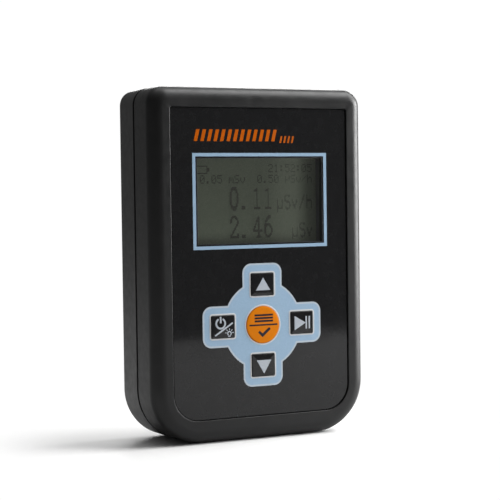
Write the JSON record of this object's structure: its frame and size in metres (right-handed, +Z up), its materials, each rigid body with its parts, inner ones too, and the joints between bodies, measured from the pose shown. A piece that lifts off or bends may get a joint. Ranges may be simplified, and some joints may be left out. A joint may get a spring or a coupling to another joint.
{
  "type": "geiger counter",
  "caption": "Pocket Geiger counter: two-part black case, glossy front film with display and a cross of keys, tube, board, battery bay with hinged door.",
  "frame": {"origin": "middle of the bottom edge, on the surface that the meter stands on", "axes": "+X to the right seen from the front, +Y from the front to the back, +Z up; the display faces -Y"},
  "size_m": [0.0764, 0.0268, 0.112],
  "materials": {
    "case_plastic": "fine moulded texture, satin black",
    "seal_rubber": "matt black",
    "overlay_film": "glossy black film printed with a pale blue display frame and key pad",
    "window_plastic": "clear",
    "black_plastic": "matt black",
    "display_glass": "olive grey reflective display with dark dots",
    "diffuser": "milky white",
    "strip_rubber": "grey striped rubber",
    "board_laminate": "green solder mask",
    "chip_resin": "matt black moulding",
    "plunger_plastic": "smooth black",
    "ferrite": "dark grey sintered",
    "plated_metal": "nickel plated",
    "tube_metal": "thin drawn metal",
    "key_black": "glossy black with pale symbols",
    "key_orange": "glossy orange with dark symbols",
    "cell_jacket": "printed foil jacket, plain",
    "lead_red": "red insulation",
    "lead_black": "black insulation"
  },
  "bodies": {
    "case": {"front_shell": "case_plastic", "rear_shell": "case_plastic", "seam_gasket": "seal_rubber", "graphic_overlay": "overlay_film", "display_window": "window_plastic", "lcd_bezel": "black_plastic", "buzzer": "black_plastic", "lcd_glass": "display_glass", "lcd_backlight": "diffuser", "lcd_connector": "strip_rubber", "main_pcb": "board_laminate", "microcontroller": "chip_resin", "switch_up": "chip_resin", "switch_down": "chip_resin", "switch_power_light": "chip_resin", "switch_play_pause": "chip_resin", "switch_menu_ok": "chip_resin", "hv_transformer": "ferrite", "crystal": "plated_metal", "hv_capacitor": "plated_metal", "tube_clip_top": "plated_metal", "tube_clip_bottom": "plated_metal", "case_screw_1": "plated_metal", "case_screw_2": "plated_metal", "case_screw_3": "plated_metal", "case_screw_4": "plated_metal", "pcb_screw_1": "plated_metal", "pcb_screw_2": "plated_metal", "pcb_screw_3": "plated_metal", "pcb_screw_4": "plated_metal", "contact_plate_positive": "plated_metal", "contact_plate_negative": "plated_metal", "contact_bridge": "plated_metal", "contact_spring_lower": "plated_metal", "contact_spring_upper": "plated_metal", "gm_tube": "tube_metal", "battery_cell_1": "cell_jacket", "battery_cell_2": "cell_jacket", "battery_lead_positive": "lead_red", "battery_lead_negative": "lead_black"},
    "key_up": {"key_up": "key_black", "plunger_up": "plunger_plastic"},
    "key_down": {"key_down": "key_black", "plunger_down": "plunger_plastic"},
    "key_power_light": {"key_power_light": "key_black", "plunger_power_light": "plunger_plastic"},
    "key_play_pause": {"key_play_pause": "key_black", "plunger_play_pause": "plunger_plastic"},
    "key_menu_ok": {"key_menu_ok": "key_orange", "plunger_menu_ok": "plunger_plastic"},
    "battery_door": {"battery_door": "case_plastic"}
  },
  "joints": [
    {"name": "key_up_press", "type": "slide", "parent": "case", "child": "key_up", "axis": [0, 1, 0], "range_m": [0, 0.00035], "stiffness_N_per_m": 1500},
    {"name": "key_down_press", "type": "slide", "parent": "case", "child": "key_down", "axis": [0, 1, 0], "range_m": [0, 0.00035], "stiffness_N_per_m": 1500},
    {"name": "key_power_light_press", "type": "slide", "parent": "case", "child": "key_power_light", "axis": [0, 1, 0], "range_m": [0, 0.00035], "stiffness_N_per_m": 1500},
    {"name": "key_play_pause_press", "type": "slide", "parent": "case", "child": "key_play_pause", "axis": [0, 1, 0], "range_m": [0, 0.00035], "stiffness_N_per_m": 1500},
    {"name": "key_menu_ok_press", "type": "slide", "parent": "case", "child": "key_menu_ok", "axis": [0, 1, 0], "range_m": [0, 0.00035], "stiffness_N_per_m": 1500},
    {"name": "battery_door_hinge", "type": "hinge", "parent": "case", "child": "battery_door", "pos_m": [0, 0.0134, 0.0066], "axis": [-1, 0, 0], "range_deg": [0, 75]}
  ]
}
